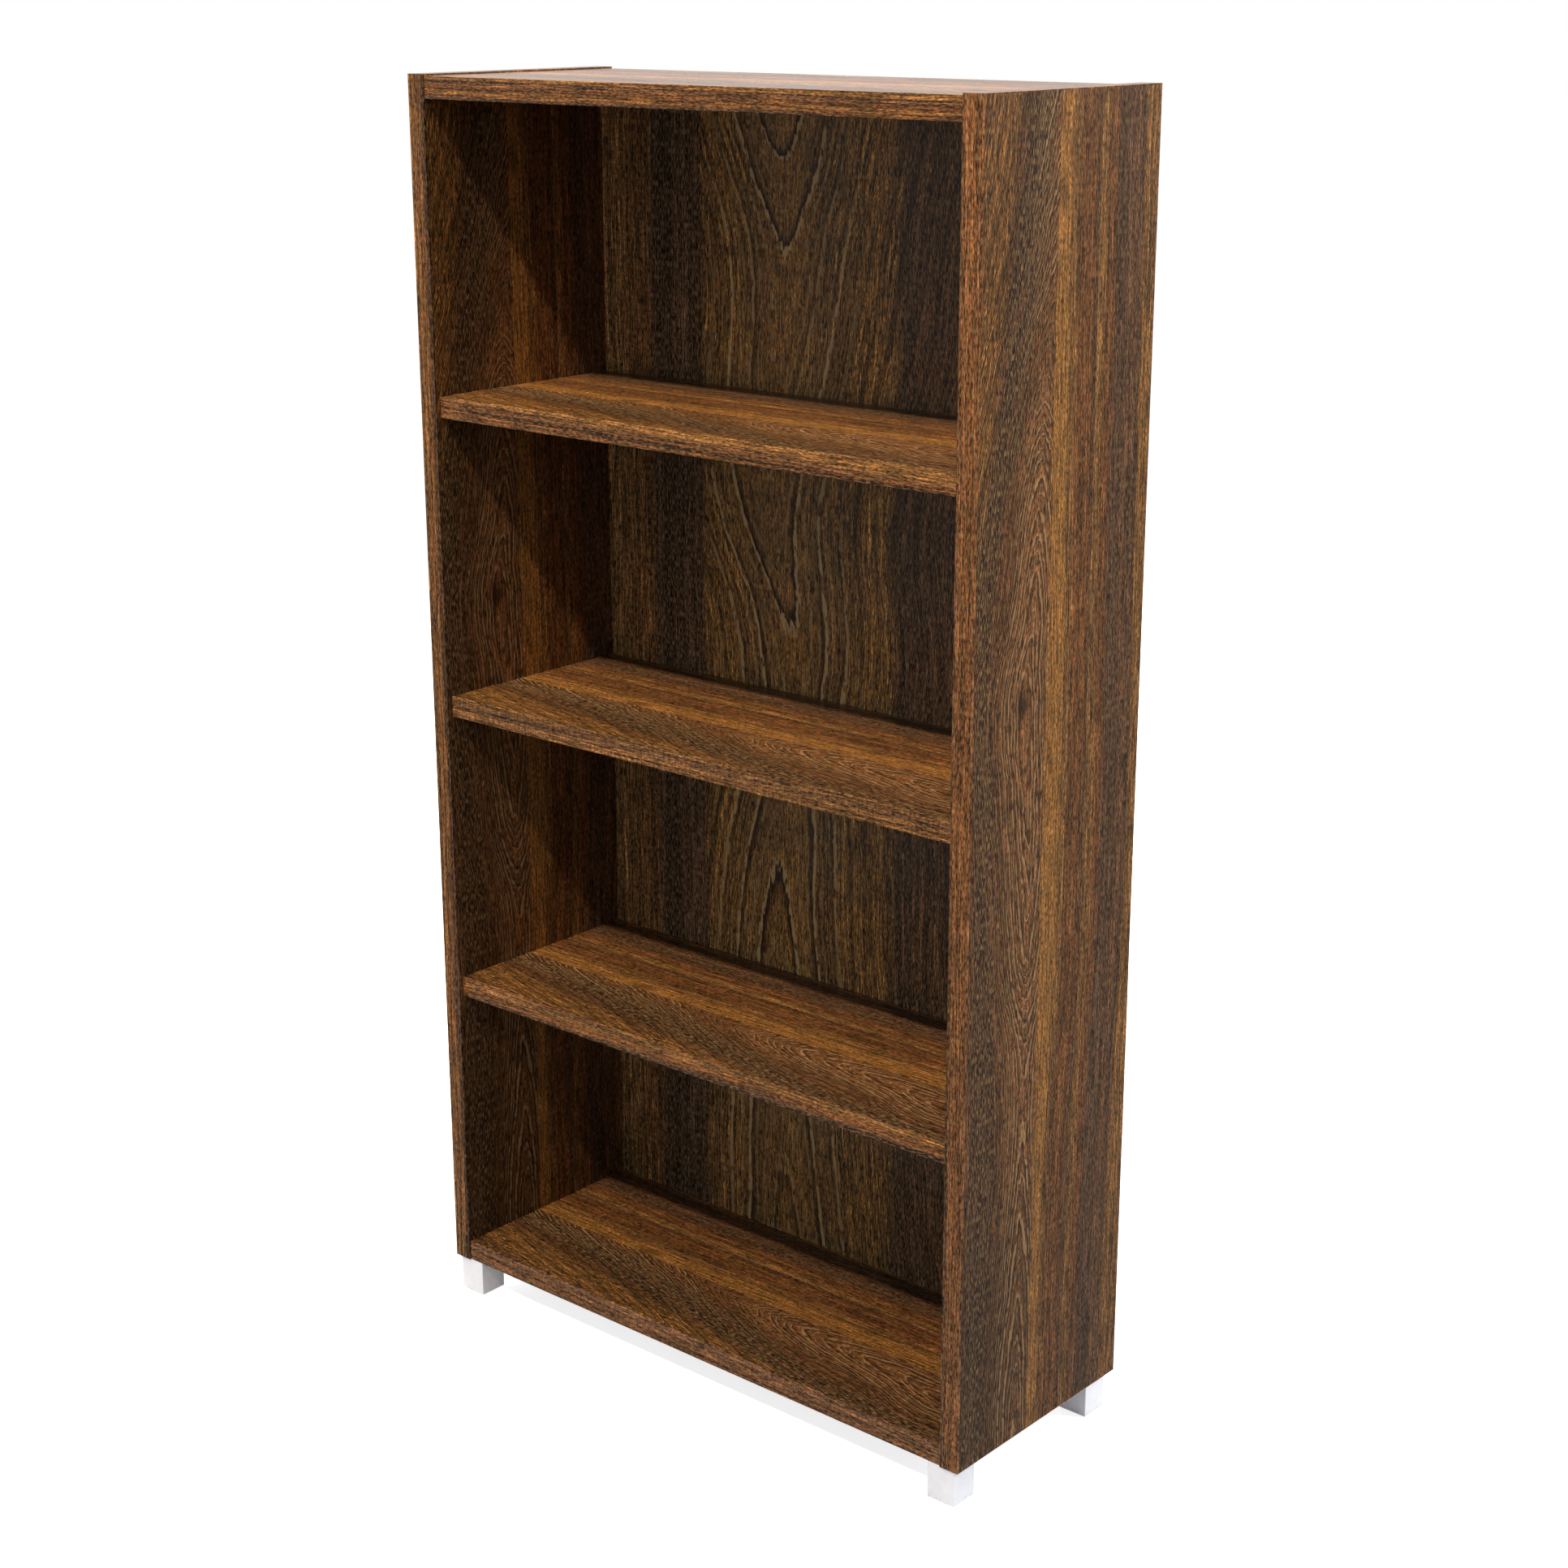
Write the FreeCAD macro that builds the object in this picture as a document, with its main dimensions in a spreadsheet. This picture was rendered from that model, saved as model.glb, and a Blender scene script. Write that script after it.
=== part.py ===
import FreeCAD, Part
import os
import re
import Sketcher
from FreeCAD import Placement, Rotation, Vector

# Straight bookcase of laminated board: two sides, a top, a bottom, a full back, three loose shelves
# and four square feet with levelling glides. +X is right, +Y is to the rear and +Z is up. The origin
# is on the floor, under the middle of the case. All lengths are in millimetres.

doc = FreeCAD.newDocument("bookcase")
sheet = doc.addObject("Spreadsheet::Sheet", "dim")

sizes = [
    # Case
    ("case_width", "800"),
    ("case_depth", "300"),
    ("side_height", "1454"),
    ("board_thickness", "25"),
    ("back_thickness", "18"),
    ("side_reveal", "2"),  # how far the sides stand past the boards between them, at the front, rear and top
    # Edging strips
    ("front_edging", "2"),
    ("thin_edging", "1"),
    ("edging_round", "0.6"),
    # Loose shelves
    ("shelf_setback", "7"),
    ("shelf_end_clearance", "0.5"),
    ("shelf_rear_clearance", "0.8"),
    # Bent wires that carry the shelves in grooves in their ends
    ("wire_diameter", "3"),
    ("wire_run", "200"),
    ("wire_standoff", "5"),
    ("wire_leg_depth", "12"),
    ("wire_bend_radius", "4"),
    ("wire_front_inset", "8"),  # wood kept ahead of the room in which each wire is centred
    ("wire_clearance", "0.4"),
    # Holes
    ("bore_clearance", "0.1"),
    ("hole_end_gap", "0.5"),
    ("cut_overrun", "1"),
    # Cam locks, set in the hidden face of the board that they hold
    ("cam_diameter", "15"),
    ("cam_past_bolt", "6"),
    ("cam_end_distance", "34"),
    ("cam_row_inset", "10"),  # from the inner face of the nearest foot
    ("cam_play", "0.3"),
    ("cam_slot_width", "1.6"),
    ("cam_slot_length", "9"),
    ("cam_slot_depth", "2.5"),
    # Bolts that the cam locks pull on
    ("bolt_diameter", "6"),
    ("bolt_grip", "11"),
    ("bolt_neck_diameter", "4"),
    ("bolt_neck_length", "4"),
    ("bolt_head_diameter", "7"),
    ("bolt_head_length", "4"),
    ("bolt_bore_diameter", "8"),
    # Wooden dowels
    ("dowel_diameter", "8"),
    ("dowel_length", "35"),
    ("dowel_grip", "12"),
    ("dowel_spacing", "32"),
    ("back_dowel_share", "0.6"),
    # Feet, each under the joint between a side and the bottom
    ("foot_width", "37"),
    ("foot_height", "45"),
    ("foot_front_inset", "3"),
    ("foot_rear_inset", "9"),
    ("foot_round", "1"),
    ("foot_screw_share", "0.33"),
    # Screws that hold the feet
    ("screw_diameter", "4"),
    ("screw_grip", "20"),
    ("screw_head_diameter", "8"),
    ("screw_head_height", "3"),
    ("screw_seat_height", "20"),
    ("screw_head_clearance", "0.3"),
    # Levelling glides and their threaded inserts
    ("glide_diameter", "24"),
    ("glide_thickness", "6"),
    ("glide_chamfer", "1"),
    ("glide_proud", "1"),
    ("glide_clearance", "0.4"),
    ("stem_diameter", "8"),
    ("stem_length", "30"),
    ("stem_clearance", "0.1"),
    ("insert_diameter", "11"),
    ("insert_length", "15"),
]
for row, (alias, value) in enumerate(sizes, start=1):
    sheet.set(f"A{row}", alias)
    sheet.set(f"B{row}", value)
    sheet.setAlias(f"B{row}", alias)
doc.recompute()

# Heights of the back's cam locks, as shares of the back's height.
back_cam_shares = (0.12, 0.5, 0.88)

# Each end of the case: its name, its sign along X and the way from it into the case.
ends = (("left", -1, "+x"), ("right", 1, "-x"))
shelf_names = ("lower_shelf", "middle_shelf", "upper_shelf")

turns = {
    "+x": Rotation(Vector(0, 1, 0), 90),
    "-x": Rotation(Vector(0, 1, 0), -90),
    "-y": Rotation(Vector(1, 0, 0), 90),
    "+z": Rotation(),
}
pieces = []


# Formulas. They name cells of the sheet, and stay live in the document.
def in_sheet(formula):
    return re.sub(r"[a-z]+(_[a-z]+)*", r"dim.\g<0>", formula)


def number(formula):
    return float(sheet.evalExpression(in_sheet(formula)))


def bind(item, prop, formula):
    item.setExpression(prop, in_sheet(formula))


def place(item, spot, turn=Rotation()):
    item.Placement = Placement(Vector(), turn)
    for axis, formula in zip("xyz", spot):
        bind(item, f"Placement.Base.{axis}", formula)


def both_ways(sign, near, far):
    """Low and high formulas of a span that runs from near to far, on one side of the middle."""
    return (f"-({far})", f"-({near})") if sign < 0 else (near, far)


# Solids
def box(name, x, y, z):
    item = doc.addObject("Part::Box", name)
    for prop, (low, high) in zip(("Length", "Width", "Height"), (x, y, z)):
        bind(item, prop, f"({high}) - ({low})")
    place(item, [low for low, high in (x, y, z)])
    return item


def cylinder(name, diameter, length, spot, way):
    item = doc.addObject("Part::Cylinder", name)
    bind(item, "Radius", f"({diameter}) / 2")
    bind(item, "Height", length)
    place(item, spot, turns[way])
    return item


def fuse(name, shapes):
    item = doc.addObject("Part::MultiFuse", name)
    item.Shapes = shapes
    return item


def cut(name, blank, tools):
    item = doc.addObject("Part::Cut", name)
    item.Base = blank
    item.Tool = fuse(f"{name}_tools", tools) if len(tools) > 1 else tools[0]
    return item


def group(name, shapes):
    item = doc.addObject("Part::Compound", name)
    item.Links = shapes
    return item


def keep(item, label):
    item.Label = label
    pieces.append(item)


# Sketches and features of a body
def sketch_on(body, role):
    sketch = body.newObject("Sketcher::SketchObject", f"{body.Name}_sketch")
    plane = next(item for item in body.Origin.OriginFeatures if item.Role == role)
    sketch.AttachmentSupport = [(plane, "")]
    sketch.MapMode = "FlatFace"
    return sketch


def measure(sketch, formula, kind, *parts):
    index = sketch.addConstraint(Sketcher.Constraint(kind, *parts, number(formula)))
    bind(sketch, f"Constraints[{index}]", formula)


def pin(sketch, edge, point, across, up):
    for kind, formula, axis in (("DistanceX", across, -2), ("DistanceY", up, -1)):
        if formula == "0":
            sketch.addConstraint(Sketcher.Constraint("PointOnObject", edge, point, axis))
        else:
            measure(sketch, formula, kind, -1, 1, edge, point)


def outline(sketch, corners):
    spots = [Vector(number(across), number(up), 0) for across, up in corners]
    for start, end in zip(spots, spots[1:] + spots[:1]):
        sketch.addGeometry(Part.LineSegment(start, end))
    for edge, (across, up) in enumerate(corners):
        before = (edge - 1) % len(corners)
        sketch.addConstraint(Sketcher.Constraint("Coincident", before, 2, edge, 1))
        pin(sketch, edge, 1, across, up)


def circle(sketch, across, up, diameter):
    middle = Vector(number(across), number(up), 0)
    edge = sketch.addGeometry(Part.Circle(middle, Vector(0, 0, 1), number(diameter) / 2))
    pin(sketch, edge, 3, across, up)
    measure(sketch, diameter, "Diameter", edge)


def pad(body, sketch, length):
    feature = body.newObject("PartDesign::Pad", f"{body.Name}_pad")
    feature.Profile = sketch
    bind(feature, "Length", length)
    doc.recompute()
    return feature


def pocket_up(body, sketch, depth):
    before = body.Shape.Volume
    feature = body.newObject("PartDesign::Pocket", f"{body.Name}_pocket")
    feature.Profile = sketch
    feature.Reversed = True
    bind(feature, "Length", depth)
    doc.recompute()
    if not body.Shape.Volume < before:
        raise RuntimeError(f"{feature.Name} cuts nothing")


def round_edges(body, base, radius, chosen):
    names = [f"Edge{i}" for i, edge in enumerate(base.Shape.Edges, start=1) if chosen(edge)]
    feature = body.newObject("PartDesign::Fillet", f"{body.Name}_round")
    feature.Base = (base, names)
    bind(feature, "Radius", radius)
    doc.recompute()


# Levels and spans that more than one piece uses
half_width = "case_width / 2"
inner_half = "(case_width / 2 - board_thickness)"
case_front = "(-case_depth / 2)"
case_rear = "(case_depth / 2)"
case_low = "(glide_proud + foot_height)"
case_high = f"({case_low} + side_height)"
board_front = f"({case_front} + side_reveal)"
board_rear = f"({case_rear} - side_reveal)"
back_front = f"({board_rear} - back_thickness)"
back_middle = f"({board_rear} - back_thickness / 2)"
bottom_top = f"({case_low} + board_thickness)"
top_high = f"({case_high} - side_reveal)"
top_low = f"({top_high} - board_thickness)"
cam_middle = f"({inner_half} - cam_end_distance)"
cam_rows = (f"({case_front} + foot_front_inset + foot_width + cam_row_inset)",
            f"({case_rear} - foot_rear_inset - foot_width - cam_row_inset)")
dowel_rows = (f"({cam_rows[0]} + dowel_spacing)", f"({cam_rows[1]} - dowel_spacing)")
between_sides = (f"-{inner_half}", inner_half)

opening_count = len(shelf_names) + 1
clear_height = f"({top_low} - {bottom_top} - {len(shelf_names)} * board_thickness)"
opening_height = f"({clear_height} / {opening_count})"
shelf_front = f"({case_front} + shelf_setback)"
shelf_rear = f"({back_front} - shelf_rear_clearance)"
shelf_half = f"({inner_half} - shelf_end_clearance)"
wire_middle = f"(({shelf_front} + wire_front_inset + {shelf_rear}) / 2)"
wire_front = f"({wire_middle} - wire_run / 2)"
wire_rear = f"({wire_middle} + wire_run / 2)"
wire_space = "(wire_diameter / 2 + wire_clearance)"

foot_rows = {
    "front": f"({case_front} + foot_front_inset + foot_width / 2)",
    "rear": f"({case_rear} - foot_rear_inset - foot_width / 2)",
}
foot_screw_offset = "(foot_width * foot_screw_share)"
recess_depth = "(glide_thickness - glide_proud + glide_clearance)"
stem_top = "(glide_thickness - glide_proud + stem_length)"


def shelf_low(index):
    return f"({bottom_top} + {index + 1} * {opening_height} + {index} * board_thickness)"


def shelf_middle(index):
    return f"({shelf_low(index)} + board_thickness / 2)"


# Heights of the back's cam locks
back_cam_heights = [f"({bottom_top} + {share} * ({top_low} - {bottom_top}))" for share in back_cam_shares]

# Places of the bolts that draw a board's end against a side: the board's name, the depth and height of
# each bolt, the cam lock's open face, the thickness behind that face and the way into the board.
bottom_bolt_height = f"({case_low} + board_thickness / 2)"
top_bolt_height = f"({top_low} + board_thickness / 2)"
bolted_boards = {
    "bottom": ([(row, bottom_bolt_height) for row in cam_rows], case_low, "board_thickness", "+z"),
    "top": ([(row, top_bolt_height) for row in cam_rows], top_low, "board_thickness", "+z"),
    "back": ([(back_middle, height) for height in back_cam_heights], board_rear, "back_thickness", "-y"),
}
end_dowels = {
    "bottom": [(row, bottom_bolt_height) for row in dowel_rows],
    "top": [(row, top_bolt_height) for row in dowel_rows],
}


# Cutting tools
def side_hole(name, sign, way, diameter, depth, y, z):
    """A blind hole in a side's inner face. It starts at its bottom and runs past the face."""
    start = f"{sign} * ({inner_half} + {depth} + hole_end_gap)"
    length = f"{depth} + hole_end_gap + cut_overrun"
    return cylinder(name, f"{diameter} + 2 * bore_clearance", length, (start, y, z), way)


def end_hole(name, sign, way, diameter, depth, y, z):
    """A hole in the end of a board between the sides, that starts outside the end."""
    start = f"{sign} * ({inner_half} + cut_overrun)"
    return cylinder(name, diameter, f"{depth} + cut_overrun", (start, y, z), way)


def cam_spot(sign, y, z, face, way):
    x = f"{sign} * {cam_middle}"
    return (x, face, z) if way == "-y" else (x, y, face)


def board_bores(board):
    """Bores of the cam locks and bolts in one board, and of the dowels in its ends."""
    bolts, face, thickness, way = bolted_boards[board]
    height = f"({thickness} / 2 + cam_past_bolt + hole_end_gap)"
    tools = []
    for end, sign, inward in ends:
        for y, z in bolts:
            spot = cam_spot(sign, y, z, face, way)
            tools.append(cylinder(f"{board}_cam_bore", "cam_diameter", height, spot, way))
            tools.append(end_hole(f"{board}_bolt_bore", sign, inward, "bolt_bore_diameter",
                                  "cam_end_distance", y, z))
        for y, z in end_dowels.get(board, []):
            depth = "(dowel_length - dowel_grip + hole_end_gap)"
            tools.append(end_hole(f"{board}_dowel_bore", sign, inward,
                                  "dowel_diameter + 2 * bore_clearance", depth, y, z))
    return tools


def upright_hole(name, diameter, x, y, low, high):
    return cylinder(name, f"{diameter} + 2 * bore_clearance", f"({high}) - ({low})", (x, y, low), "+z")


def back_dowel_places():
    for end, sign, inward in ends:
        yield f"{sign} * {inner_half} * back_dowel_share"


def foot_screw_holes(name, sign, place_sign):
    """Holes for the foot screws on one side of a joint: outwards in the side, inwards in the bottom."""
    shift = f"{place_sign} * {foot_screw_offset}"
    x = f"{sign} * ({inner_half} + {shift})"
    low = f"{case_low} - cut_overrun"
    high = f"{case_low} + screw_grip + hole_end_gap"
    return [upright_hole(name, "screw_diameter", x, f"{y} + {shift}", low, high) for y in foot_rows.values()]


# Edging strips
def front_strip(label, x, z, front):
    """A strip on a front edge, with its long outer edges rounded."""
    body = doc.addObject("PartDesign::Body", label)
    length = f"({x[1]}) - ({x[0]})"
    height = f"({z[1]}) - ({z[0]})"
    sketch = sketch_on(body, "XZ_Plane")
    outline(sketch, [("0", "0"), (length, "0"), (length, height), ("0", height)])
    base = pad(body, sketch, "front_edging")
    longest = max(edge.Length for edge in base.Shape.Edges)
    outer = base.Shape.BoundBox.YMin
    round_edges(body, base, "edging_round", lambda edge: edge.Length > longest / 2
                and abs(edge.CenterOfMass.y - outer) < number("edging_round") / 2)
    place(body, (x[0], f"{front} + front_edging", z[0]))
    keep(body, label)


def side_panel(end, sign, inward):
    x = both_ways(sign, inner_half, half_width)
    y = (f"{case_front} + front_edging", f"{case_rear} - thin_edging")
    z = (f"{case_low} + thin_edging", f"{case_high} - thin_edging")
    tools = []
    for bolts, *rest in bolted_boards.values():
        tools += [side_hole(f"{end}_bolt_hole", sign, inward, "bolt_diameter", "bolt_grip", *spot)
                  for spot in bolts]
    for spots in end_dowels.values():
        tools += [side_hole(f"{end}_dowel_hole", sign, inward, "dowel_diameter", "dowel_grip", *spot)
                  for spot in spots]
    for index in range(len(shelf_names)):
        tools += [side_hole(f"{end}_wire_hole", sign, inward, "wire_diameter", "wire_leg_depth",
                            row, shelf_middle(index)) for row in (wire_front, wire_rear)]
    tools += foot_screw_holes(f"{end}_screw_hole", sign, 1)
    keep(cut(f"{end}_side", box(f"{end}_side_blank", x, y, z), tools), f"{end}_side_panel")

    front_strip(f"{end}_side_front_edging", x, (case_low, case_high), case_front)
    keep(box(f"{end}_rear_strip", x, (f"{case_rear} - thin_edging", case_rear), z), f"{end}_side_rear_edging")
    strip_y = (f"{case_front} + front_edging", case_rear)
    upper = box(f"{end}_upper_strip", x, strip_y, (z[1], case_high))
    lower = cut(f"{end}_lower_strip", box(f"{end}_lower_strip_blank", x, strip_y, (case_low, z[0])),
                foot_screw_holes(f"{end}_strip_hole", sign, 1))
    keep(group(f"{end}_end_strips", [upper, lower]), f"{end}_side_end_edgings")


def level_board(name, low, high, more_tools):
    """The top or the bottom: a board between the sides with an edging strip at the front and rear."""
    y = (f"{board_front} + front_edging", f"{board_rear} - thin_edging")
    blank = box(f"{name}_blank", between_sides, y, (low, high))
    keep(cut(f"{name}_board", blank, board_bores(name) + more_tools), f"{name}_panel")
    front_strip(f"{name}_front_edging", between_sides, (low, high), board_front)
    rear = box(f"{name}_rear_strip", between_sides, (f"{board_rear} - thin_edging", board_rear), (low, high))
    keep(rear, f"{name}_rear_edging")


def back_panel():
    blank = box("back_blank", between_sides, (back_front, board_rear), (bottom_top, top_low))
    tools = board_bores("back")
    reach = "(dowel_length - dowel_grip + hole_end_gap)"
    for x in back_dowel_places():
        tools.append(upright_hole("back_low_hole", "dowel_diameter", x, back_middle,
                                  f"{bottom_top} - cut_overrun", f"{bottom_top} + {reach}"))
        tools.append(upright_hole("back_high_hole", "dowel_diameter", x, back_middle,
                                  f"{top_low} - {reach}", f"{top_low} + cut_overrun"))
    keep(cut("back_board", blank, tools), "back_panel")


def loose_shelf(index, name):
    low = shelf_low(index)
    high = f"({low} + board_thickness)"
    middle = shelf_middle(index)
    x = (f"-{shelf_half}", shelf_half)
    blank = box(f"{name}_blank", x, (f"{shelf_front} + front_edging", shelf_rear), (low, high))
    groove_y = (f"{wire_front} - {wire_space}", f"{shelf_rear} + cut_overrun")
    groove_z = (f"{middle} - {wire_space}", f"{middle} + {wire_space}")
    grooves = []
    for end, sign, inward in ends:
        groove_x = both_ways(sign, f"{inner_half} - wire_standoff - {wire_space}", f"{shelf_half} + cut_overrun")
        grooves.append(box(f"{name}_groove", groove_x, groove_y, groove_z))
    keep(cut(f"{name}_board", blank, grooves), name)
    front_strip(f"{name}_front_edging", x, (low, high), shelf_front)


def shelf_wire(name, sign, height):
    """A wire with both ends bent into a side. Its body starts at the front leg's end."""
    body = doc.addObject("PartDesign::Body", name)
    reach = "(wire_leg_depth + wire_standoff)"
    far, run, bend = number(reach), number("wire_run"), number("wire_bend_radius")
    turn = far - bend
    path = sketch_on(body, "XY_Plane")
    path.addGeometry(Part.LineSegment(Vector(), Vector(turn, 0, 0)))
    path.addGeometry(Part.Arc(Vector(turn, 0, 0), Vector(turn + bend * 0.5**0.5, bend - bend * 0.5**0.5, 0),
                              Vector(far, bend, 0)))
    path.addGeometry(Part.LineSegment(Vector(far, bend, 0), Vector(far, run - bend, 0)))
    path.addGeometry(Part.Arc(Vector(far, run - bend, 0),
                              Vector(turn + bend * 0.5**0.5, run - bend + bend * 0.5**0.5, 0),
                              Vector(turn, run, 0)))
    path.addGeometry(Part.LineSegment(Vector(turn, run, 0), Vector(0, run, 0)))
    path.addConstraint(Sketcher.Constraint("Coincident", 0, 1, -1, 1))
    path.addConstraint(Sketcher.Constraint("Horizontal", 0))
    for edge in range(4):
        path.addConstraint(Sketcher.Constraint("Tangent", edge, 2, edge + 1, 1))
    path.addConstraint(Sketcher.Constraint("Vertical", 2))
    path.addConstraint(Sketcher.Constraint("Equal", 1, 3))
    measure(path, "wire_bend_radius", "Radius", 1)
    measure(path, reach, "DistanceX", -1, 1, 2, 1)
    pin(path, 4, 2, "0", "wire_run")
    section = sketch_on(body, "YZ_Plane")
    ring = section.addGeometry(Part.Circle(Vector(), Vector(0, 0, 1), number("wire_diameter") / 2))
    section.addConstraint(Sketcher.Constraint("Coincident", ring, 3, -1, 1))
    measure(section, "wire_diameter", "Diameter", ring)
    doc.recompute()
    pipe = body.newObject("PartDesign::AdditivePipe", f"{name}_pipe")
    pipe.Profile = section
    pipe.Spine = path
    turned = Rotation(Vector(0, 1, 0), 180) if sign > 0 else Rotation()
    place(body, (f"{sign} * ({inner_half} + wire_leg_depth)", wire_front, height), turned)
    return body


def cam_lock(name, sign, inward, y, z, face, thickness, way):
    """A cam lock: a round barrel with a hollow for the bolt's head and a cross slot in its face."""
    spot = cam_spot(sign, y, z, face, way)
    barrel = cylinder(f"{name}_barrel", "cam_diameter - 2 * bore_clearance",
                      f"{thickness} / 2 + cam_past_bolt", spot, way)
    mouth = f"{sign} * ({cam_middle} + cam_diameter / 2)"
    length = "cam_diameter / 2 + bolt_head_length / 2 + cam_play"
    hollow = cylinder(f"{name}_hollow", "bolt_head_diameter + 2 * cam_play", length, (mouth, y, z), inward)
    tools = [hollow]
    for half_x, half_side in (("cam_slot_length / 2", "cam_slot_width / 2"),
                              ("cam_slot_width / 2", "cam_slot_length / 2")):
        slot_x = (f"{spot[0]} - {half_x}", f"{spot[0]} + {half_x}")
        if way == "-y":
            slot_y = (f"{face} - cam_slot_depth", f"{face} + cut_overrun")
            slot_z = (f"{z} - {half_side}", f"{z} + {half_side}")
        else:
            slot_y = (f"{y} - {half_side}", f"{y} + {half_side}")
            slot_z = (f"{face} - cut_overrun", f"{face} + cam_slot_depth")
        tools.append(box(f"{name}_slot", slot_x, slot_y, slot_z))
    return cut(name, barrel, tools)


def cam_bolt(name, sign, inward, y, z):
    head_start = f"({cam_middle} + bolt_head_length / 2)"
    neck_start = f"({head_start} + bolt_neck_length)"
    shank_start = f"({inner_half} + bolt_grip)"
    stretches = [
        ("bolt_diameter", f"{shank_start} - {neck_start}", shank_start),
        ("bolt_neck_diameter", "bolt_neck_length", neck_start),
        ("bolt_head_diameter", "bolt_head_length", head_start),
    ]
    return fuse(name, [cylinder(f"{name}_stretch", diameter, length, (f"{sign} * {start}", y, z), inward)
                       for diameter, length, start in stretches])


def board_fittings(board):
    bolts, face, thickness, way = bolted_boards[board]
    locks = []
    studs = []
    for end, sign, inward in ends:
        for y, z in bolts:
            locks.append(cam_lock(f"{board}_cam", sign, inward, y, z, face, thickness, way))
            studs.append(cam_bolt(f"{board}_bolt", sign, inward, y, z))
    keep(group(f"{board}_locks", locks), f"{board}_cam_locks")
    keep(group(f"{board}_studs", studs), f"{board}_cam_bolts")


def board_dowels(board):
    dowels = []
    for end, sign, inward in ends:
        start = f"{sign} * ({inner_half} + dowel_grip)"
        dowels += [cylinder(f"{board}_dowel", "dowel_diameter", "dowel_length", (start, y, z), inward)
                   for y, z in end_dowels[board]]
    keep(group(f"{board}_dowel_group", dowels), f"{board}_dowels")


def back_dowels():
    dowels = []
    for x in back_dowel_places():
        for start in (f"{bottom_top} - dowel_grip", f"{top_low} + dowel_grip - dowel_length"):
            dowels.append(cylinder("back_dowel", "dowel_diameter", "dowel_length", (x, back_middle, start), "+z"))
    keep(group("back_dowel_group", dowels), "back_dowels")


def square_foot(label, x, y):
    """A moulded block with a recess below for the glide. Its body starts at the block's lowest corner."""
    body = doc.addObject("PartDesign::Body", label)
    middle = "foot_width / 2"
    sketch = sketch_on(body, "XY_Plane")
    outline(sketch, [("0", "0"), ("foot_width", "0"), ("foot_width", "foot_width"), ("0", "foot_width")])
    base = pad(body, sketch, "foot_height")
    highest = base.Shape.BoundBox.ZMax
    round_edges(body, base, "foot_round", lambda edge: edge.CenterOfMass.z < highest - number("foot_round"))
    hollows = [
        ("glide_diameter + 2 * glide_clearance", recess_depth),
        ("insert_diameter + 2 * bore_clearance", f"{recess_depth} + insert_length"),
        ("stem_diameter + 2 * glide_clearance", f"{stem_top} + hole_end_gap"),
    ]
    for diameter, depth in hollows:
        sketch = sketch_on(body, "XY_Plane")
        circle(sketch, middle, middle, diameter)
        pocket_up(body, sketch, depth)
    near = f"{middle} - {foot_screw_offset}"
    far = f"{middle} + {foot_screw_offset}"
    sunk = "screw_head_diameter + 2 * screw_head_clearance"
    corners = [(near, near), (far, far)] if x[0] > 0 else [(far, near), (near, far)]
    for diameter, depth in ((sunk, "screw_seat_height"),
                            ("screw_diameter + 2 * bore_clearance", "foot_height")):
        sketch = sketch_on(body, "XY_Plane")
        for corner in corners:
            circle(sketch, *corner, diameter)
        pocket_up(body, sketch, depth)
    place(body, (f"{x[1]} - {middle}", f"{y} - {middle}", "glide_proud"))
    keep(body, label)


def foot_screw(name, x, y):
    seat = "(glide_proud + screw_seat_height)"
    head = cylinder(f"{name}_head", "screw_head_diameter", "screw_head_height",
                    (x, y, f"{seat} - screw_head_height"), "+z")
    shank = cylinder(f"{name}_shank", "screw_diameter", f"{case_low} + screw_grip - {seat}", (x, y, seat), "+z")
    return fuse(name, [head, shank])


def threaded_insert(name, x, y):
    low = f"(glide_proud + {recess_depth})"
    outer = cylinder(f"{name}_outer", "insert_diameter", "insert_length", (x, y, low), "+z")
    bore = cylinder(f"{name}_bore", "stem_diameter + 2 * stem_clearance", "insert_length + 2 * cut_overrun",
                    (x, y, f"{low} - cut_overrun"), "+z")
    return cut(name, outer, [bore])


def levelling_glide(label, x, y):
    """A round glide on a stem, turned about its own axis."""
    body = doc.addObject("PartDesign::Body", label)
    rim = "glide_diameter / 2"
    stem = "stem_diameter / 2"
    high = "glide_thickness + stem_length"
    sketch = sketch_on(body, "XZ_Plane")
    outline(sketch, [("0", "0"), (f"{rim} - glide_chamfer", "0"), (rim, "glide_chamfer"),
                     (rim, "glide_thickness"), (stem, "glide_thickness"), (stem, high), ("0", high)])
    turned = body.newObject("PartDesign::Revolution", f"{label}_turned")
    turned.Profile = sketch
    turned.ReferenceAxis = (sketch, ["V_Axis"])
    turned.Angle = 360
    place(body, (x, y, "0"))
    keep(body, label)


def feet():
    screws = []
    inserts = []
    for row, y in foot_rows.items():
        for end, sign, inward in ends:
            x = f"{sign} * {inner_half}"
            square_foot(f"{row}_{end}_foot", (sign, x), y)
            levelling_glide(f"{row}_{end}_glide", x, y)
            inserts.append(threaded_insert(f"{row}_{end}_insert", x, y))
            for place_sign in (1, -1):
                shift = f"{place_sign} * {foot_screw_offset}"
                screws.append(foot_screw(f"{row}_{end}_screw", f"{sign} * ({inner_half} + {shift})",
                                         f"{y} + {shift}"))
    keep(group("screw_group", screws), "foot_screws")
    keep(group("insert_group", inserts), "foot_inserts")


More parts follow.
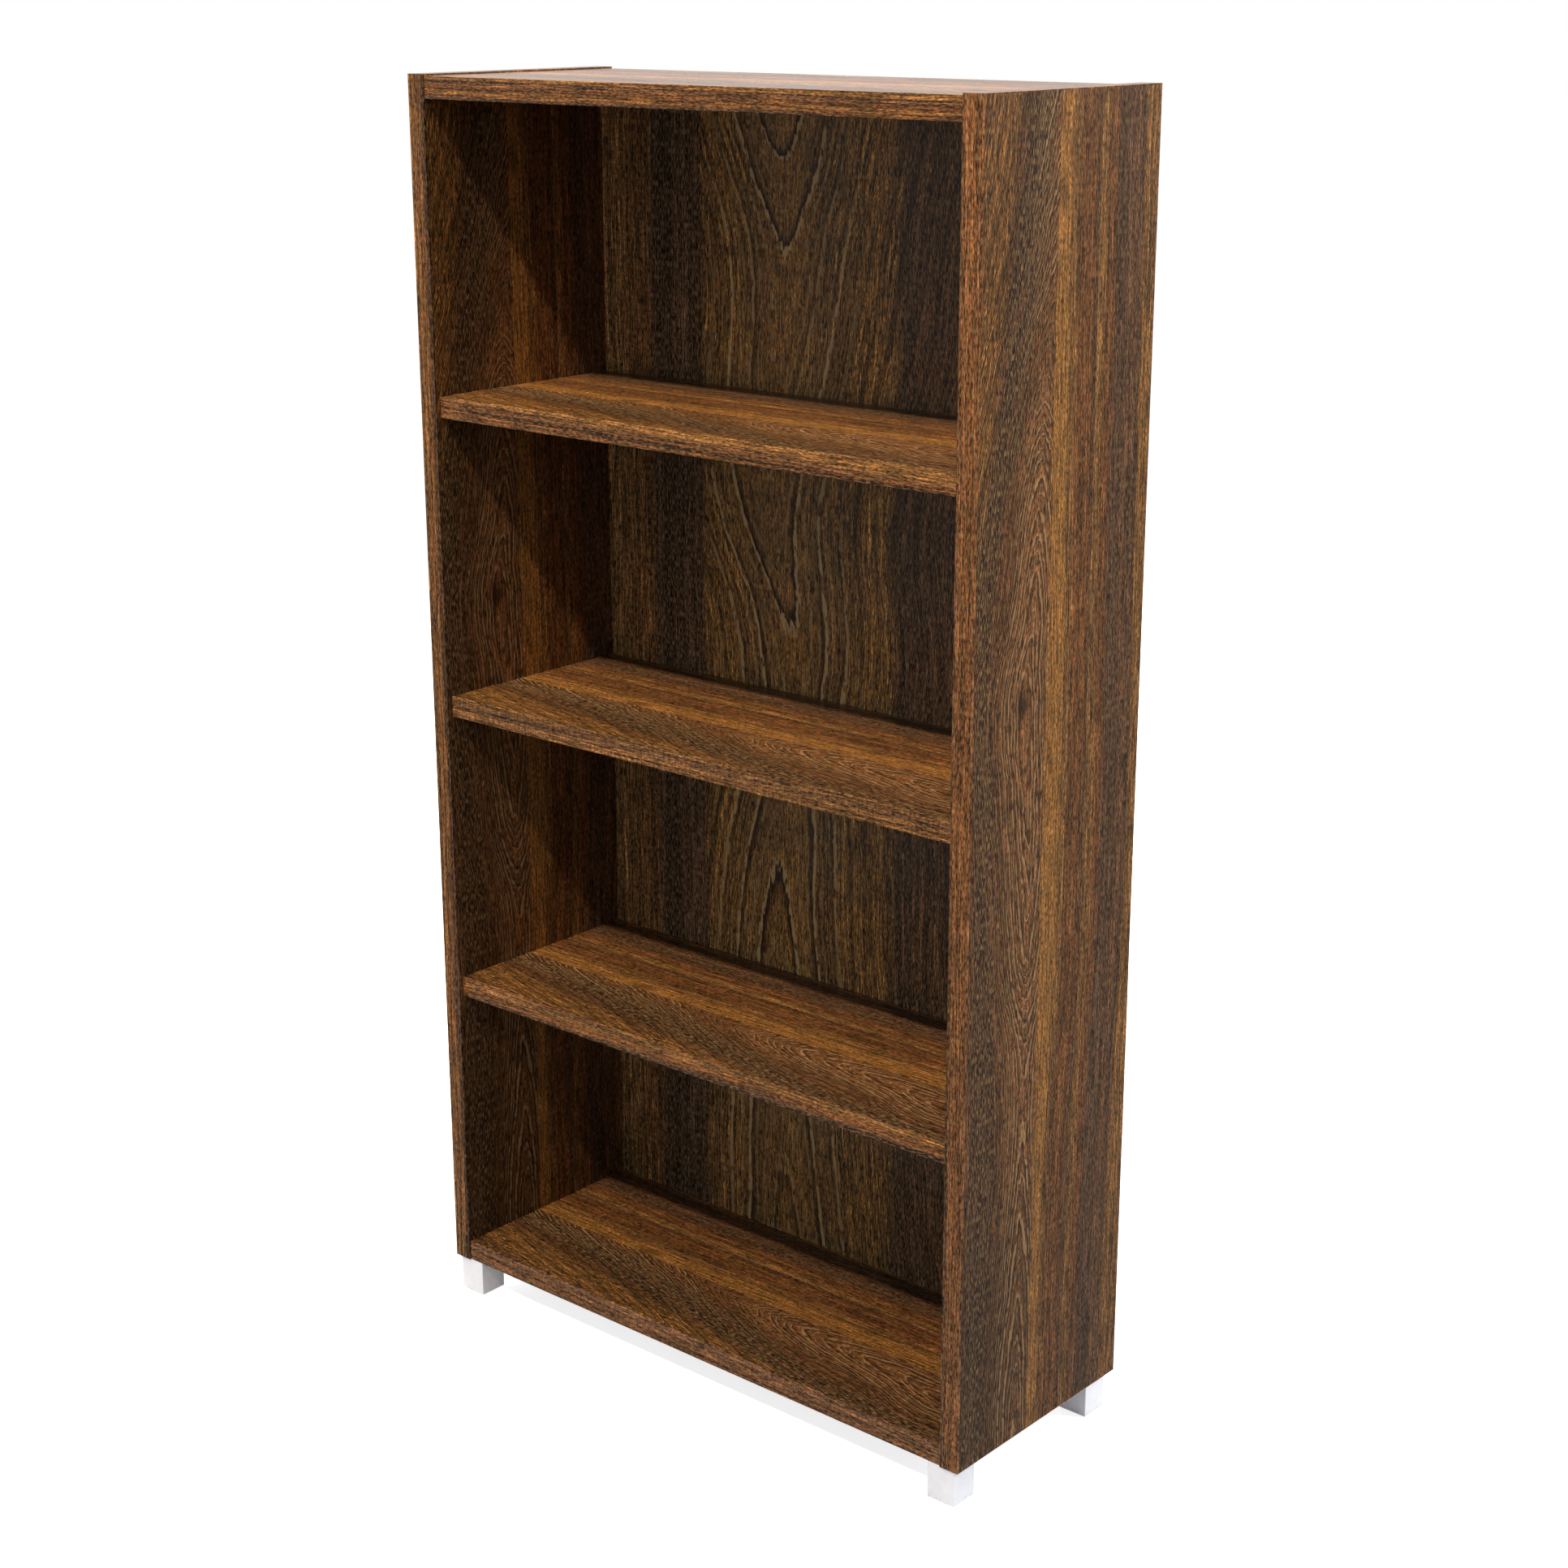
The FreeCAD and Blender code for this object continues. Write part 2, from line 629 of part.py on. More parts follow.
# The boards
for end, sign, inward in ends:
    side_panel(end, sign, inward)
bottom_tools = foot_screw_holes("bottom_screw_hole", -1, -1) + foot_screw_holes("bottom_screw_hole", 1, -1)
bottom_tools += [upright_hole("bottom_dowel_hole", "dowel_diameter", x, back_middle,
                              f"{bottom_top} - dowel_grip - hole_end_gap", f"{bottom_top} + cut_overrun")
                 for x in back_dowel_places()]
top_tools = [upright_hole("top_dowel_hole", "dowel_diameter", x, back_middle,
                          f"{top_low} - cut_overrun", f"{top_low} + dowel_grip + hole_end_gap")
             for x in back_dowel_places()]
level_board("bottom", case_low, bottom_top, bottom_tools)
level_board("top", top_low, top_high, top_tools)
back_panel()
for index, name in enumerate(shelf_names):
    loose_shelf(index, name)
    wires = [shelf_wire(f"{end}_{name}_wire", sign, shelf_middle(index)) for end, sign, inward in ends]
    keep(group(f"{name}_wire_pair", wires), f"{name}_wires")

# The fittings and the feet
for board in bolted_boards:
    board_fittings(board)
for board in end_dowels:
    board_dowels(board)
back_dowels()
feet()
doc.recompute()

failed = [item.Name for item in doc.Objects if {"Invalid", "Error"} & set(item.State)]
failed += [piece.Label for piece in pieces if piece.Shape.isNull() or not piece.Shape.isValid()]
if failed:
    raise RuntimeError("not built: " + ", ".join(failed))
os.makedirs("parts", exist_ok=True)
for piece in pieces:
    piece.Shape.exportStep(f"parts/{piece.Label}.step")
    print(piece.Label, len(piece.Shape.Solids), "solids", round(piece.Shape.Volume), "mm3")
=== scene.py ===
import bpy
import bmesh
from math import radians
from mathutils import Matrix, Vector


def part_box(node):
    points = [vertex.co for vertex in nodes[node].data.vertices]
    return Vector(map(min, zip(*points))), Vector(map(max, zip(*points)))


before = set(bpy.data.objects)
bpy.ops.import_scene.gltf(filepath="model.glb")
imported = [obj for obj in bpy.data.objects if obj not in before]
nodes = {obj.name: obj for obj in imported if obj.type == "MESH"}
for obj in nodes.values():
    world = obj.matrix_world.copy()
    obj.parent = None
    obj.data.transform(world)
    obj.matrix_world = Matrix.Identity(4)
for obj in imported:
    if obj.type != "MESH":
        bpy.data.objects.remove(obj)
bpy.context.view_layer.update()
print("bookcase loaded:", len(nodes), "nodes")

# Small helpers for node trees
def feed(tree, socket, value):
    if isinstance(value, bpy.types.NodeSocket):
        tree.links.new(value, socket)
    else:
        socket.default_value = value


def addNode(tree, kind, inputs=None, **settings):
    node = tree.nodes.new("ShaderNode" + kind)
    for name, value in settings.items():
        setattr(node, name, value)
    for key, value in (inputs or {}).items():
        feed(tree, node.inputs[key], value)
    return node


def calc(tree, operation, *values, clamp=False):
    return addNode(tree, "Math", dict(enumerate(values)), operation=operation, use_clamp=clamp).outputs[0]


def plus(tree, first, second):
    return calc(tree, "ADD", first, second)


def minus(tree, first, second):
    return calc(tree, "SUBTRACT", first, second)


def times(tree, first, second):
    return calc(tree, "MULTIPLY", first, second)


def slope(tree, value, low, high, start=0.0, end=1.0):  # eased step from low to high
    node = addNode(tree, "MapRange", {0: value, 1: low, 2: high, 3: start, 4: end},
                   interpolation_type="SMOOTHSTEP")
    return node.outputs[0]


def grain(tree, x, y, z, detail=2.0, rough=0.5):  # noise at a place that is already scaled
    place = addNode(tree, "CombineXYZ", {0: x, 1: y, 2: z})
    noise = addNode(tree, "TexNoise", {"Vector": place.outputs[0], "Scale": 1.0, "Detail": detail,
                                       "Roughness": rough})
    return noise.outputs[0]


def stretched(tree, vector, scale, detail=2.0):  # noise at its own scale along each axis
    place = addNode(tree, "VectorMath", {0: vector, 1: scale}, operation="MULTIPLY")
    noise = addNode(tree, "TexNoise", {"Vector": place.outputs[0], "Scale": 1.0, "Detail": detail})
    return noise.outputs[0]


def mixColor(tree, amount, first, second, mode="MIX"):
    node = addNode(tree, "Mix", {0: amount, 6: first, 7: second}, data_type="RGBA", blend_type=mode)
    return node.outputs[2]


def shaded(tree, color, amount):
    return addNode(tree, "VectorMath", {0: color, 1: amount}, operation="MULTIPLY").outputs[0]


def colorRamp(tree, value, stops):
    node = addNode(tree, "ValToRGB", {0: value})
    elements = node.color_ramp.elements
    elements[0].position, elements[0].color = stops[0]
    elements[1].position, elements[1].color = stops[-1]
    for place, color in stops[1:-1]:
        elements.new(place).color = color
    return node.outputs[0]


def freeCurve(tree, value, points):  # a drawn curve through a few points, all from 0 to 1
    node = addNode(tree, "FloatCurve", {1: value})
    curve = node.mapping.curves[0]
    curve.points[0].location = points[0]
    curve.points[1].location = points[-1]
    for point in points[1:-1]:
        curve.points.new(*point)
    for point in curve.points:
        point.handle_type = "AUTO_CLAMPED"
    node.mapping.update()
    return node.outputs[0]


def newGroup(name, inputs, outputs):
    tree = bpy.data.node_groups.new(name, "ShaderNodeTree")
    for label, kind, value in inputs:
        socket = tree.interface.new_socket(label, in_out="INPUT", socket_type="NodeSocket" + kind)
        if value is not None:
            socket.default_value = value
    for label, kind in outputs:
        tree.interface.new_socket(label, in_out="OUTPUT", socket_type="NodeSocket" + kind)
    return tree, tree.nodes.new("NodeGroupInput").outputs, tree.nodes.new("NodeGroupOutput").inputs


def useGroup(tree, group, inputs):
    node = tree.nodes.new("ShaderNodeGroup")
    node.node_tree = group
    for key, value in inputs.items():
        feed(tree, node.inputs[key], value)
    return node.outputs


def newMaterial(name):
    material = bpy.data.materials.new(name)
    material.use_nodes = True
    tree = material.node_tree
    return material, tree, tree.nodes["Principled BSDF"]


def dress(material, *names):
    for name in names:
        nodes[name].material_slots[0].material = material


# Tones of the walnut print, as written in linear light
tones = {
    "gold": (0.237, 0.099, 0.0228, 1),
    "honey": (0.158, 0.0680, 0.0190, 1),
    "rust": (0.136, 0.0510, 0.0165, 1),
    "red": (0.121, 0.0425, 0.0122, 1),
    "brown": (0.096, 0.0405, 0.0175, 1),
    "umber": (0.062, 0.0285, 0.0148, 1),
    "cocoa": (0.056, 0.0245, 0.0125, 1),
    "dark": (0.024, 0.0118, 0.0072, 1),
    "line": (0.010, 0.0056, 0.0038, 1),
    "pore": (0.272, 0.165, 0.067, 1),
    "pale": (0.450, 0.275, 0.118, 1),
}


# Noises of the grain: repeats per metre across and along the board, step of the seed, detail and roughness
grainNoises = {
    "broad": (130, 1.5, 0, 3.0, 0.6),
    "fine": (520, 9, 5, 3.0, 0.6),
    "lines": (270, 3.2, 9, 2.0, 0.5),
    "hair": (420, 26, 13, 1.0, 0.5),
    "tooth": (720, 190, 15, 1.0, 0.5),
    "pores": (860, 130, 17, 0.0, 0.5),
    "ticks": (640, 60, 29, 0.0, 0.5),
    "ripple": (70, 420, 23, 0.0, 0.5),
}
ringNoises = ("broad", "fine", "lines")   # these follow the rings, the others the board itself
grainShades = {   # how far each noise darkens and lightens the wood
    "broad": (-0.34, 0.36),
    "fine": (-0.62, 0.70),
    "hair": (-0.52, 0.58),
    "tooth": (-0.62, 0.70),
    "ripple": (-1.0, 1.0),
}


# Streaks, hairs, thin lines, pores and ripple. Run follows the rings, Across and Along the board itself.
def grainStreaks():
    tree, given, put = newGroup("grainStreaks",
                                [("Run", "Float", 0), ("Across", "Float", 0), ("Along", "Float", 0),
                                 ("Bold", "Float", 1), ("Ripple", "Float", 0), ("Seed", "Float", 0)],
                                [("Shade", "Float"), ("Fine", "Float"), ("Lines", "Float"),
                                 ("Pores", "Float"), ("Ticks", "Float")])
    across, along, seed, bold = given["Across"], given["Along"], given["Seed"], given["Bold"]
    jog = grain(tree, times(tree, along, 55), times(tree, across, 150), plus(tree, seed, 2), 1.0)
    run = calc(tree, "MULTIPLY_ADD", jog, 0.0012, given["Run"])
    noise = {}
    for name, (crossRate, alongRate, step, detail, rough) in grainNoises.items():
        lead = run if name in ringNoises else across
        noise[name] = grain(tree, times(tree, lead, crossRate), times(tree, along, alongRate),
                            plus(tree, seed, step), detail, rough)
    steady = calc(tree, "MULTIPLY_ADD", bold, 0.8, 0.2)
    shares = {"broad": bold, "fine": steady, "hair": 1.0, "tooth": 1.0, "ripple": given["Ripple"]}
    shade = 1.0
    for name, (deep, high) in grainShades.items():
        swing = slope(tree, noise[name], 0.30, 0.70, deep, high)
        shade = times(tree, shade, calc(tree, "MULTIPLY_ADD", swing, shares[name], 1.0))
    lines = slope(tree, noise["lines"], 0.60, 0.67)
    feed(tree, put["Shade"], shade)
    feed(tree, put["Fine"], noise["fine"])
    feed(tree, put["Lines"], calc(tree, "MULTIPLY", lines, bold, clamp=True))
    feed(tree, put["Pores"], slope(tree, noise["pores"], 0.52, 0.64))
    feed(tree, put["Ticks"], slope(tree, noise["ticks"], 0.55, 0.65))
    return tree


# Growth rings cut flat. Climb is the height of the cut in the ring cone, Bow the slope of the arches' arms,
# Round the width of their tips, Line the width of the pale line on each ring, Reach how far out it shows,
# Uneven how much the rings differ in width.
def ringArches():
    tree, given, put = newGroup("ringArches",
                                [("Offset", "Float", 0), ("Climb", "Float", 0.1), ("Along", "Float", 0),
                                 ("Bow", "Float", 5), ("Round", "Float", 0.01),
                                 ("Spacing", "Float", 0.025), ("Line", "Float", 0.002),
                                 ("Reach", "Float", 0.05), ("Uneven", "Float", 1.6), ("Seed", "Float", 0)],
                                [("Ring", "Float"), ("Light", "Float"), ("Dark", "Float"),
                                 ("Tone", "Float")])
    along, seed, bow, spacing = given["Along"], given["Seed"], given["Bow"], given["Spacing"]
    sway = grain(tree, times(tree, along, 6), times(tree, given["Offset"], 12), seed, 2.0)
    offset = calc(tree, "MULTIPLY_ADD", minus(tree, sway, 0.5), 0.016, given["Offset"])
    shake = grain(tree, times(tree, along, 30), times(tree, offset, 190), plus(tree, seed, 3), 2.0, 0.6)
    squared = times(tree, given["Round"], given["Round"])
    far = calc(tree, "SQRT", calc(tree, "MULTIPLY_ADD", offset, offset, squared))
    ring = calc(tree, "MULTIPLY_ADD", minus(tree, far, given["Round"]), bow, given["Climb"])
    ring = calc(tree, "MULTIPLY_ADD", minus(tree, shake, 0.5), 0.022, ring)
    count = calc(tree, "DIVIDE", ring, spacing)
    uneven = grain(tree, times(tree, count, 0.55), seed, 0, 1.0)
    count = calc(tree, "MULTIPLY_ADD", uneven, given["Uneven"], count)
    which = addNode(tree, "TexWhiteNoise", {"W": plus(tree, calc(tree, "FLOOR", count), seed)},
                    noise_dimensions="1D").outputs[0]
    aside = calc(tree, "ABSOLUTE", offset)
    steep = calc(tree, "MAXIMUM", times(tree, calc(tree, "DIVIDE", aside, far), bow), 1.0)
    wide = calc(tree, "DIVIDE", spacing, steep)
    pitch = calc(tree, "DIVIDE", wide, given["Line"])   # ring width in lines
    ahead = times(tree, minus(tree, 1.0, calc(tree, "FRACT", count)), pitch)
    thirds = calc(tree, "FRACT", times(tree, count, 3))   # for the weak lines between the rings
    between = times(tree, minus(tree, 1.0, thirds), times(tree, pitch, 0.333))
    ahead = calc(tree, "DIVIDE", ahead, calc(tree, "MINIMUM", times(tree, pitch, 0.26), 1.0))
    light = slope(tree, ahead, 1.2, 0.8)
    dark = times(tree, slope(tree, ahead, 3.6, 1.3), minus(tree, 1.0, light))
    strength = slope(tree, which, -0.3, 0.5)
    weak = times(tree, slope(tree, between, 0.7, 0.4), slope(tree, pitch, 4.0, 9.0, 0.0, 0.4))
    gaps = grain(tree, times(tree, along, 60), times(tree, offset, 120), seed, 1.0)
    broken = slope(tree, gaps, 0.36, 0.50)
    shown = times(tree, broken, slope(tree, aside, given["Reach"], times(tree, given["Reach"], 0.5)))
    feed(tree, put["Ring"], ring)
    feed(tree, put["Light"], times(tree, calc(tree, "MAXIMUM", times(tree, light, strength), weak), shown))
    feed(tree, put["Dark"], times(tree, dark, strength))
    feed(tree, put["Tone"], which)
    return tree


# Chips and glue of the board's core, seen only in bores, grooves and raw edges
def chipCore():
    tree, given, put = newGroup("chipCore", [("Vector", "Vector", None)], [("Color", "Color")])
    chips = addNode(tree, "TexVoronoi", {"Vector": given["Vector"], "Scale": 420.0})
    fibre = addNode(tree, "TexNoise", {"Vector": given["Vector"], "Scale": 1500.0, "Detail": 3.0})
    shade = addNode(tree, "SeparateXYZ", {0: chips.outputs["Color"]}).outputs[0]
    color = colorRamp(tree, shade, [(0.0, (0.20, 0.12, 0.055, 1)), (0.5, (0.36, 0.25, 0.13, 1)),
                                    (1.0, (0.50, 0.38, 0.22, 1))])
    feed(tree, put["Color"], shaded(tree, color, slope(tree, fibre.outputs[0], 0.3, 0.7, 0.7, 1.2)))
    return tree


streakGroup = grainStreaks()
archGroup = ringArches()
chipGroup = chipCore()


# Adds streaks, lines and pores to a base colour and gives the relief that goes with them
def finishGrain(tree, base, run, across, along, seed, porous, marked, ripple=0.0, bold=1.0):
    fleck = useGroup(tree, streakGroup, {"Run": run, "Across": across, "Along": along, "Bold": bold,
                                         "Ripple": ripple, "Seed": seed})
    streaked = shaded(tree, base, fleck["Shade"])
    lined = mixColor(tree, times(tree, fleck["Lines"], 0.75), streaked, tones["line"])
    lined = mixColor(tree, times(tree, fleck["Ticks"], marked), lined, tones["line"])
    color = mixColor(tree, times(tree, fleck["Pores"], porous), lined, tones["pore"])
    return color, minus(tree, fleck["Fine"], times(tree, fleck["Lines"], 0.5))


def blended(tree, amount, first, second):
    return addNode(tree, "Mix", {0: amount, 2: first, 3: second}).outputs[0]


# Print of the boards' faces. Its X runs with the grain, Y across it from the front edge.
boardPrint = {
    "lead": 0.1,         # print ahead of the side's upper end
    "length": 1.6,
    "depth": 0.3,
    "frontWidth": 0.15,  # what the axis and shadow curves are shares of
    "seam": 0.126,       # where two planks of the print meet
    "bow": 5.4,
    "round": 0.016,
    "reach": 0.055,
    "ringSpacing": 0.020,
    "line": 0.0026,      # width of the pale line round each ring
    "knot": (0.605, 0.085),
    "bands": [(0.126, "gold"), (0.145, "gold"), (0.152, "honey"), (0.158, "honey"), (0.162, "red"),
              (0.172, "red"), (0.189, "red"), (0.1935, "umber"), (0.197, "honey"), (0.206, "honey"),
              (0.212, "red"), (0.221, "red"), (0.228, "umber"), (0.235, "umber"), (0.243, "umber"),
              (0.262, "brown"), (0.2735, "umber"), (0.278, "honey"), (0.287, "honey"), (0.300, "honey")],
    "clear": (0.144, 0.153),    # where the clear golden stripe beside the seam ends
    "corner": (0.066, 0.125),   # width of the pale front corner, and how fast it narrows
    "level": [(0.0, 0.66), (0.094, 0.68), (0.19, 0.67), (0.26, 0.78), (0.32, 0.91), (0.41, 1.0),
              (0.50, 0.96), (0.59, 0.84), (0.68, 0.82), (0.75, 0.74), (0.84, 0.56), (1.0, 0.46)],
    "levelTop": 1.4,
    "climbTop": 0.9,
    "climb": [(0.0, 0.983), (0.0625, 0.822), (0.169, 0.544), (0.231, 0.386), (0.325, 0.144), (0.431, 0.011),
              (0.44, 0.003), (0.50, 0.016), (0.544, 0.034), (0.606, 0.083), (0.72, 0.251), (0.8125, 0.196),
              (0.9375, 0.106), (1.0, 0.090)],
    "axis": [(0.0, 0.88), (0.17, 0.86), (0.234, 0.74), (0.335, 0.70), (0.3875, 0.667), (0.44, 0.587),
             (0.50, 0.647), (0.544, 0.68), (0.72, 0.70), (1.0, 0.68)],
    "driftWidth": 0.05,
    "drift": [(0.0, 0.50), (0.35, 0.42), (0.52, 0.34), (0.75, 0.55), (1.0, 0.75)],
    "shadow": [(0.0, 0.78), (0.0625, 0.667), (0.25, 0.367), (0.42, 0.08), (0.53, 0.167), (0.72, 0.20),
               (1.0, 0.133)],
    "quiet": (0.335, 0.36, 0.47, 0.50),   # rings whose pale lines fade
    "low": (1.05, 1.35, 0.80),   # painted shade: where the boards darken towards the floor, standing in for light that falls off lower down, and how far
    "porous": (0.36, 0.50),      # pores everywhere, and more of them in the dark band
    "marked": {"front": 0.76, "stripe": 0.22, "rear": 0.56},   # strength of the dark ticks
    "stripeBold": 0.35,          # strength of the streaks in the golden stripe
    "darkLine": 0.65,
    "paleLine": (0.58, 0.45),    # its strength, and what it loses where it fades
}


def walnutBoardPrint():
    spec = boardPrint
    tree, given, put = newGroup("walnutBoardPrint", [("Vector", "Vector", None)],
                                [("Color", "Color"), ("Height", "Float")])
    place = addNode(tree, "SeparateXYZ", {0: given["Vector"]}).outputs
    along, across = place[0], place[1]
    share = calc(tree, "DIVIDE", plus(tree, along, spec["lead"]), spec["length"])

    # Rear plank: straight bands that drift a little
    sway = grain(tree, times(tree, along, 3), times(tree, across, 12), 2.0, 3.0)
    drift = minus(tree, freeCurve(tree, share, spec["drift"]), 0.5)
    banded = calc(tree, "MULTIPLY_ADD", minus(tree, sway, 0.5), 0.012, across)
    banded = calc(tree, "MULTIPLY_ADD", drift, spec["driftWidth"], banded)
    rearStops = [(at / spec["depth"], tones[tone]) for at, tone in spec["bands"]]
    rear = colorRamp(tree, calc(tree, "DIVIDE", banded, spec["depth"]), rearStops)

    # Front plank: arches round a knot, over a dark band that crosses it
    axis = times(tree, freeCurve(tree, share, spec["axis"]), spec["frontWidth"])
    offset = minus(tree, across, axis)
    climb = times(tree, freeCurve(tree, share, spec["climb"]), spec["climbTop"])
    arch = useGroup(tree, archGroup, {"Offset": offset, "Climb": climb, "Along": along, "Bow": spec["bow"],
                                      "Round": spec["round"], "Spacing": spec["ringSpacing"],
                                      "Line": spec["line"], "Reach": spec["reach"], "Seed": 4.0})
    front = mixColor(tree, times(tree, arch["Tone"], 0.6), tones["rust"], tones["brown"])
    heart = slope(tree, calc(tree, "ABSOLUTE", offset), 0.042, 0.006, 0.84, 1.24)
    level = times(tree, freeCurve(tree, share, spec["level"]), times(tree, heart, spec["levelTop"]))
    front = shaded(tree, front, level)
    below = minus(tree, times(tree, freeCurve(tree, share, spec["shadow"]), spec["frontWidth"]), across)
    shadow = slope(tree, calc(tree, "ABSOLUTE", below), 0.034, 0.008)
    front = mixColor(tree, times(tree, shadow, 0.72), front, tones["cocoa"])
    width, narrowing = spec["corner"]
    corner = minus(tree, calc(tree, "MULTIPLY_ADD", along, -narrowing, width), across)
    front = mixColor(tree, times(tree, slope(tree, corner, -0.008, 0.012), 0.62), front, tones["gold"])
    flank = slope(tree, calc(tree, "ABSOLUTE", offset), 0.015, 0.060)

    # Both planks take the same grain, each along its own rings
    seamSway = grain(tree, times(tree, along, 9), 0, 6)
    seamAt = calc(tree, "MULTIPLY_ADD", seamSway, 0.002, spec["seam"] - 0.001)
    behind = slope(tree, minus(tree, across, seamAt), -0.0005, 0.0005)
    run = blended(tree, behind, times(tree, arch["Ring"], 0.18), banded)
    ahead = minus(tree, 1.0, behind)
    always, added = spec["porous"]
    porous = calc(tree, "MULTIPLY_ADD", times(tree, shadow, ahead), added, always)
    beside = slope(tree, banded, *spec["clear"])
    ticks = spec["marked"]
    marked = blended(tree, behind, ticks["front"], blended(tree, beside, ticks["stripe"], ticks["rear"]))
    bold = blended(tree, behind, flank, blended(tree, beside, spec["stripeBold"], 1.0))
    color, height = finishGrain(tree, mixColor(tree, behind, front, rear), run, across, along, 1.0, porous,
                                marked, bold=bold)
    fading, faded, returning, back = spec["quiet"]
    before = slope(tree, arch["Ring"], fading, faded)
    quiet = times(tree, before, slope(tree, arch["Ring"], back, returning))
    strength, loss = spec["paleLine"]
    lit = times(tree, arch["Light"], minus(tree, strength, times(tree, quiet, loss)))
    dim = times(tree, arch["Dark"], spec["darkLine"])
    color = mixColor(tree, times(tree, dim, ahead), color, tones["line"])
    color = mixColor(tree, times(tree, lit, ahead), color, tones["pale"])
    fromKnot = calc(tree, "POWER", times(tree, minus(tree, along, spec["knot"][0]), 0.55), 2.0)
    fromKnot = plus(tree, fromKnot, calc(tree, "POWER", minus(tree, across, spec["knot"][1]), 2.0))
    blur = grain(tree, times(tree, along, 45), times(tree, across, 120), 7.0, 2.0)
    fromKnot = calc(tree, "MULTIPLY_ADD", minus(tree, blur, 0.5), 0.016, calc(tree, "SQRT", fromKnot))
    color = mixColor(tree, times(tree, slope(tree, fromKnot, 0.016, 0.003), 0.75), color, tones["line"])
    # Painted shade: the print darkens towards the lower end, standing in for light that falls off near the
    # floor
    start, end, deep = spec["low"]
    feed(tree, put["Color"], shaded(tree, color, slope(tree, along, start, end, 1.0, deep)))
    feed(tree, put["Height"], height)
    return tree


# Print of the back. X runs down from the top board, Y to the right from the left side.
backPrint = {
    "length": 1.45,
    "width": 0.75,
    "seam": 0.158,
    "bow": 3.6,
    "round": 0.042,
    "reach": 0.13,
    "ringSpacing": 0.1,
    "line": 0.0045,
    "tint": (0.92, 1.03, 1.16),   # a little cooler than the boards, partly painted light: it stands in for the cool shade the back sits in
    "bands": [(0.0, "honey"), (0.074, "red"), (0.082, "umber"), (0.106, "dark"), (0.116, "umber"),
              (0.1575, "umber"), (0.159, "honey"), (0.205, "gold"), (0.240, "honey"), (0.300, "gold"),
              (0.350, "honey"), (0.420, "gold"), (0.450, "honey"), (0.466, "umber"), (0.488, "brown"),
              (0.545, "brown"), (0.600, "red"), (0.690, "honey"), (0.750, "brown")],
    "low": (1.02, 1.12, 0.82),    # painted shade: where the back darkens towards the floor, standing in for light that falls off lower down, and how far
    "climb": [(0.0, 0.03), (0.048, 0.10), (0.119, 0.20), (0.21, 0.235), (0.297, 0.30), (0.426, 0.40),
              (0.53, 0.44), (0.623, 0.40), (0.76, 0.34), (0.89, 0.30), (1.0, 0.26)],
    "axis": [(0.0, 0.56), (0.12, 0.58), (0.30, 0.52), (0.45, 0.60), (0.70, 0.55), (1.0, 0.58)],
    "axisWidth": 0.5,    # what the axis curve is a share of
    "porous": 0.50,
    "marked": 0.84,
    "darkLine": (0.95, -0.60),   # its strength at the tips of the arches, and what it loses on their arms
    "paleLine": 0.80,
}


def walnutBackPrint():
    spec = backPrint
    tree, given, put = newGroup("walnutBackPrint", [("Vector", "Vector", None)],
                                [("Color", "Color"), ("Height", "Float")])
    place = addNode(tree, "SeparateXYZ", {0: given["Vector"]}).outputs
    along, across = place[0], place[1]
    share = calc(tree, "DIVIDE", along, spec["length"])
    sway = grain(tree, times(tree, along, 4), times(tree, across, 7), 11.0, 2.0)
    banded = calc(tree, "MULTIPLY_ADD", minus(tree, sway, 0.5), 0.020, across)
    stops = [(at / spec["width"], tones[tone]) for at, tone in spec["bands"]]
    base = colorRamp(tree, calc(tree, "DIVIDE", banded, spec["width"]), stops)

    axis = times(tree, freeCurve(tree, share, spec["axis"]), spec["axisWidth"])
    climb = freeCurve(tree, share, spec["climb"])
    arch = useGroup(tree, archGroup, {"Offset": minus(tree, across, axis), "Climb": climb, "Along": along,
                                      "Bow": spec["bow"], "Round": spec["round"],
                                      "Spacing": spec["ringSpacing"], "Line": spec["line"],
                                      "Reach": spec["reach"], "Uneven": 0.0, "Seed": 31.0})
    flank = slope(tree, calc(tree, "ABSOLUTE", minus(tree, across, axis)), 0.025, 0.080)
    beyond = slope(tree, across, spec["seam"] - 0.0006, spec["seam"] + 0.0006)
    run = blended(tree, beyond, banded, times(tree, arch["Ring"], 0.34))
    bold = calc(tree, "MULTIPLY_ADD", blended(tree, beyond, 1.0, flank), 1.4, 0.3)
    color, height = finishGrain(tree, base, run, across, along, 33.0, spec["porous"], spec["marked"],
                                blended(tree, beyond, 0.22, 0.0), bold)
    strength, loss = spec["darkLine"]
    outline = times(tree, arch["Dark"], calc(tree, "MULTIPLY_ADD", flank, loss, strength))
    color = mixColor(tree, times(tree, outline, beyond), color, tones["line"])
    lit = times(tree, arch["Light"], spec["paleLine"])
    color = mixColor(tree, times(tree, lit, beyond), color, tones["pale"])
    # Painted shade: the back darkens towards its lower end, standing in for light that falls off near the
    # floor
    start, end, deep = spec["low"]
    color = shaded(tree, color, slope(tree, along, start, end, 1.0, deep))
    # Partly painted light: the cooler tint stands in for the cool shade inside the case
    feed(tree, put["Color"], shaded(tree, color, spec["tint"]))
    feed(tree, put["Height"], height)
    return tree


boardGroup = walnutBoardPrint()
backGroup = walnutBackPrint()
print("print groups made")


# Satin of the laminate, shared by boards and edging
laminate = {
    "gloss": (0.36, 0.25),   # roughness in the hollows and on the ridges of the grain
    "ior": 1.25,
    "bump": 0.15,
    "bumpDepth": 0.0002,
}


